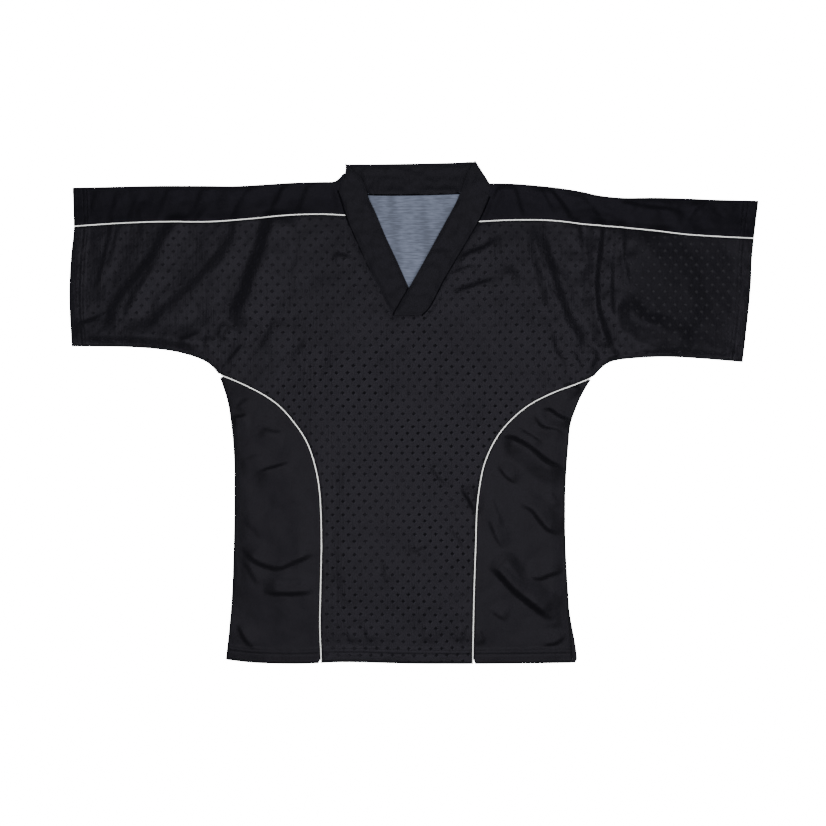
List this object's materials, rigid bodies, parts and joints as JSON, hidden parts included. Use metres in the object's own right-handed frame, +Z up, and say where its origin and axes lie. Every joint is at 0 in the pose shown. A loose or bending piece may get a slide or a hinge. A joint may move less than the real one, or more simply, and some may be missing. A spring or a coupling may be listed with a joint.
{
  "type": "kickboxing shirt laid flat",
  "caption": "Loose V-neck kickboxing shirt laid flat, with wide sleeves cut in one with the body, a crossed collar, piped shoulder pieces and curved side pieces.",
  "frame": {"origin": "bottom centre of the bounding box, on the surface that the shirt lies on", "axes": "+X across the shirt to the viewer's right, along the sleeves; +Y from the hem to the collar; +Z up from the surface, out of the shirt's front"},
  "size_m": [1.0972, 0.7998, 0.0079],
  "materials": {
    "jacquard_front": "black satin polyester with a small woven pattern",
    "jacquard_back": "black satin polyester with a small woven pattern, its pale reverse inside",
    "plain_shoulders": "plain smooth black polyester",
    "plain_sides": "plain smooth black polyester",
    "collar_cloth": "black polyester folded double over interfacing",
    "piping": "white corded piping"
  },
  "bodies": {
    "root": {"front_body": "jacquard_front", "back_body": "jacquard_back", "shoulder_left": "plain_shoulders", "shoulder_right": "plain_shoulders", "side_front_left": "plain_sides", "side_front_right": "plain_sides", "side_back_left": "plain_sides", "side_back_right": "plain_sides", "collar": "collar_cloth", "piping_shoulder_front_left": "piping", "piping_shoulder_front_right": "piping", "piping_shoulder_back_left": "piping", "piping_shoulder_back_right": "piping", "piping_side_front_left": "piping", "piping_side_front_right": "piping", "piping_side_back_left": "piping", "piping_side_back_right": "piping"}
  },
  "joints": []
}
